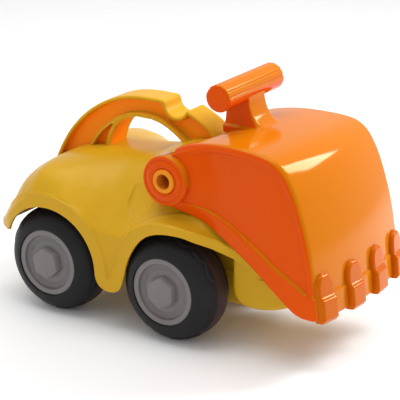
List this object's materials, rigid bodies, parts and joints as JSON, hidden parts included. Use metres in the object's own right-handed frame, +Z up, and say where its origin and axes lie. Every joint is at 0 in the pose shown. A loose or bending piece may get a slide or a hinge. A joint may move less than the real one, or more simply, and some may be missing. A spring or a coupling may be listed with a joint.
{
  "type": "toy wheel loader",
  "caption": "Toy loader with a rounded body, a carry arch, soft-tyred wheels on steel axles and a tipping front bucket with a cross-bar grip.",
  "frame": {"origin": "on the ground under the middle of the toy's bounding box", "axes": "+X forward towards the bucket, +Y left, +Z up"},
  "size_m": [0.3243, 0.1706, 0.2109],
  "materials": {
    "yellow_plastic": "satin moulded",
    "amber_plastic": "satin moulded",
    "orange_plastic": "glossy moulded",
    "grey_plastic": "satin moulded",
    "bush_plastic": "natural",
    "tyre_rubber": "soft",
    "steel": "zinc plated"
  },
  "bodies": {
    "chassis": {"base_tray": "yellow_plastic", "body_screws": "steel", "body_shell": "yellow_plastic", "carry_handle": "amber_plastic", "clamp_screws": "steel", "front_axle_bushes": "bush_plastic", "front_axle_clamp": "bush_plastic", "handle_screws": "steel", "pivot_tube_left": "yellow_plastic", "pivot_tube_right": "yellow_plastic", "rear_axle_bushes": "bush_plastic", "rear_axle_clamp": "bush_plastic"},
    "bucket": {"bucket_grip": "orange_plastic", "bucket_shell": "orange_plastic", "grip_screws": "steel"},
    "front_wheels": {"front_axle": "steel", "front_push_nuts": "steel", "hub_cap_front_left": "grey_plastic", "hub_cap_front_right": "grey_plastic", "rim_front_left": "grey_plastic", "rim_front_right": "grey_plastic", "tyre_front_left": "tyre_rubber", "tyre_front_right": "tyre_rubber"},
    "rear_wheels": {"hub_cap_rear_left": "grey_plastic", "hub_cap_rear_right": "grey_plastic", "rear_axle": "steel", "rear_push_nuts": "steel", "rim_rear_left": "grey_plastic", "rim_rear_right": "grey_plastic", "tyre_rear_left": "tyre_rubber", "tyre_rear_right": "tyre_rubber"}
  },
  "joints": [
    {"name": "bucket_hinge", "type": "hinge", "parent": "chassis", "child": "bucket", "pos_m": [0.012, 0, 0.135], "axis": [0, -1, 0], "range_deg": [0, 45]},
    {"name": "front_axle_spin", "type": "hinge", "parent": "chassis", "child": "front_wheels", "pos_m": [0.016, 0, 0.045], "axis": [0, 1, 0], "continuous": true},
    {"name": "rear_axle_spin", "type": "hinge", "parent": "chassis", "child": "rear_wheels", "pos_m": [-0.1, 0, 0.045], "axis": [0, 1, 0], "continuous": true}
  ]
}
